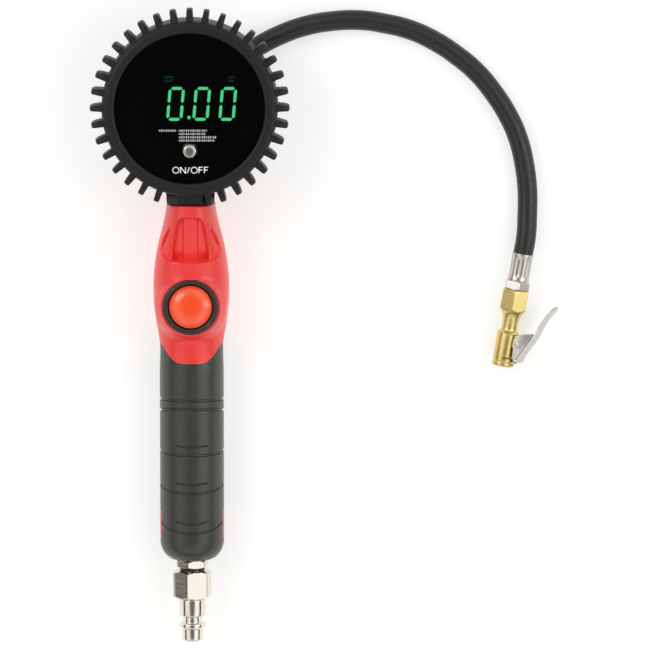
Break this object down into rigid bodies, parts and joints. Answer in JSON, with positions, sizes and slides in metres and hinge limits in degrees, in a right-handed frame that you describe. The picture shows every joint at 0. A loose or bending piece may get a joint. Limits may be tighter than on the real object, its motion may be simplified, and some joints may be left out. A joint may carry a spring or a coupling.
{
  "type": "tyre inflator",
  "caption": "Hand-held tyre inflator with a digital gauge in a ribbed rubber boot, a thumb button in a straight handle, a quick-connect air plug and a hose with a clip-on chuck.",
  "frame": {"origin": "on the surface that the tool lies on, below the middle of its length from the plug's tip to the gauge's ribs, on the handle's axis", "axes": "+Y along the handle, from the air plug to the gauge; +Z out of the gauge's face; +X to the right of a person reading the gauge"},
  "size_m": [0.2147, 0.2949, 0.046],
  "materials": {
    "boot_rubber": "matte",
    "case_plastic": "matte",
    "lens_dark": "gloss",
    "seal_rubber": "matte",
    "face_print": "satin",
    "display_glass": "gloss",
    "board": "satin",
    "battery_can": "satin",
    "contact_metal": "satin",
    "screw_steel": "satin",
    "sensor_can": "satin",
    "fitting_brass": "satin",
    "washer_copper": "satin",
    "button_chrome": "gloss",
    "body_red": "satin",
    "grip_black": "satin",
    "bezel_black": "satin",
    "button_orange": "gloss",
    "spring_steel": "satin",
    "block_aluminium": "satin",
    "tube_steel": "satin",
    "fitting_nickel": "gloss",
    "filter_bronze": "matte",
    "ferrule_aluminium": "satin",
    "hose_rubber": "matte",
    "fitting_zinc": "satin",
    "chuck_brass": "satin",
    "clip_steel": "satin"
  },
  "bodies": {
    "tool": {"rubber_boot": "boot_rubber", "gauge_case": "case_plastic", "lens": "lens_dark", "lens_seal": "seal_rubber", "face_plate": "face_print", "display_module": "display_glass", "circuit_board": "board", "batteries": "battery_can", "battery_contacts": "contact_metal", "battery_door": "case_plastic", "door_screw": "screw_steel", "pressure_sensor": "sensor_can", "gauge_stem": "fitting_brass", "stem_nut": "fitting_brass", "stem_washer": "washer_copper", "body_front": "body_red", "body_rear": "body_red", "shell_screws": "screw_steel", "grip_sleeve": "grip_black", "button_bezel": "bezel_black", "stem_seal": "seal_rubber", "trigger_spring": "spring_steel", "valve_spring": "spring_steel", "valve_cap": "fitting_brass", "valve_block": "block_aluminium", "inlet_tube": "tube_steel", "inlet_adapter": "fitting_nickel", "inlet_oring": "seal_rubber", "inlet_filter": "filter_bronze", "coupler_plug": "fitting_nickel", "hose_fitting": "fitting_brass", "ferrule_inner": "ferrule_aluminium", "hose": "hose_rubber", "ferrule_outer": "ferrule_aluminium", "hose_tail": "fitting_zinc", "chuck_body": "chuck_brass", "chuck_seal": "seal_rubber", "core_depressor": "chuck_brass", "clip_pin": "clip_steel", "clip_spring": "spring_steel"},
    "trigger": {"trigger_button": "button_orange", "valve_stem": "fitting_brass", "poppet_seal": "seal_rubber"},
    "power": {"power_button": "button_chrome"},
    "clip": {"clip_lever": "clip_steel"}
  },
  "joints": [
    {"name": "trigger_press", "type": "slide", "parent": "tool", "child": "trigger", "axis": [0, 0, -1], "range_m": [0, 0.004], "stiffness_N_per_m": 900, "springref_m": -0.006, "deforming": ["trigger_spring", "valve_spring"]},
    {"name": "power_press", "type": "slide", "parent": "tool", "child": "power", "axis": [0, 0, -1], "range_m": [0, 0.0008], "stiffness_N_per_m": 800, "springref_m": -0.001},
    {"name": "clip_swing", "type": "hinge", "parent": "tool", "child": "clip", "pos_m": [0.15161, -0.00858, 0.00903], "axis": [-0.3366, 0.0606, 0.9397], "range_deg": [0, 20], "stiffness_Nm_per_rad": 0.05, "springref_deg": -11.46}
  ]
}
